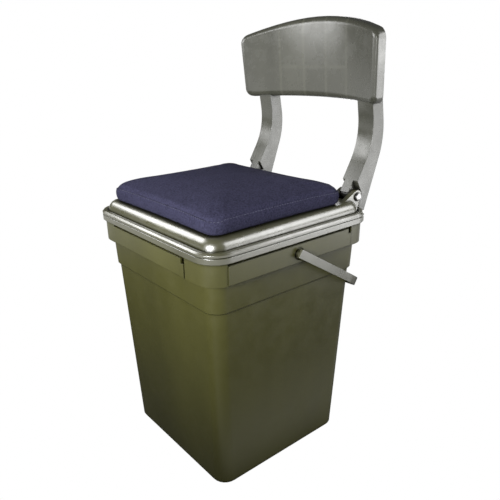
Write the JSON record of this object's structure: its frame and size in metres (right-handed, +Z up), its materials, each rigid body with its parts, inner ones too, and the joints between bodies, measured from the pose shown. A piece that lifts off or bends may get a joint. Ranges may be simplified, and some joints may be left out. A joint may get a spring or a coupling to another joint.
{
  "type": "fishing bucket seat",
  "caption": "Square tapered bait bucket with a bail and a press-on lid that carries a padded seat and a curved backrest folding forward on two pinned arms.",
  "frame": {"origin": "middle of the bounding box in plan, on the floor under the foot ring", "axes": "+Z up from the base to the backrest, -Y the way the sitter faces, +X the sitter's left"},
  "size_m": [0.311, 0.3507, 0.6427],
  "materials": {
    "olive_plastic": "moulded olive green plastic, satin sheen",
    "olive_lid_plastic": "moulded olive green plastic, slightly glossier than the bucket",
    "grey_olive_plastic": "moulded grey olive plastic, satin with faint flow marks",
    "navy_brushed_cloth": "dark navy brushed cloth with a topstitched seam",
    "black_tape": "black hook and loop tape",
    "black_nylon": "black nylon",
    "bright_steel": "bright plated steel"
  },
  "bodies": {
    "bucket": {"bucket_shell": "olive_plastic"},
    "lid": {"lid_shell": "olive_lid_plastic", "seat_cushion": "navy_brushed_cloth", "hook_strip_left": "black_tape", "loop_strip_left": "black_tape", "hinge_pin_left": "bright_steel", "pin_washer_left": "black_nylon", "pin_retainer_left": "bright_steel", "hook_strip_right": "black_tape", "loop_strip_right": "black_tape", "hinge_pin_right": "bright_steel", "pin_washer_right": "black_nylon", "pin_retainer_right": "bright_steel"},
    "backrest": {"backrest_arm_left": "grey_olive_plastic", "backrest_arm_right": "grey_olive_plastic", "back_panel": "grey_olive_plastic", "panel_screw_left_lower": "bright_steel", "panel_screw_left_upper": "bright_steel", "panel_screw_right_lower": "bright_steel", "panel_screw_right_upper": "bright_steel"},
    "bail": {"bail_handle": "olive_lid_plastic"}
  },
  "joints": [
    {"name": "lid_lift", "type": "slide", "parent": "bucket", "child": "lid", "axis": [0, 0, 1], "range_m": [0, 0.3]},
    {"name": "backrest_fold", "type": "hinge", "parent": "lid", "child": "backrest", "pos_m": [0, 0.11949, 0.3875], "axis": [1, 0, 0], "range_deg": [0, 69]},
    {"name": "bail_swing", "type": "hinge", "parent": "bucket", "child": "bail", "pos_m": [0, -0.0255, 0.34], "axis": [1, 0, 0], "range_deg": [0, 33]}
  ]
}
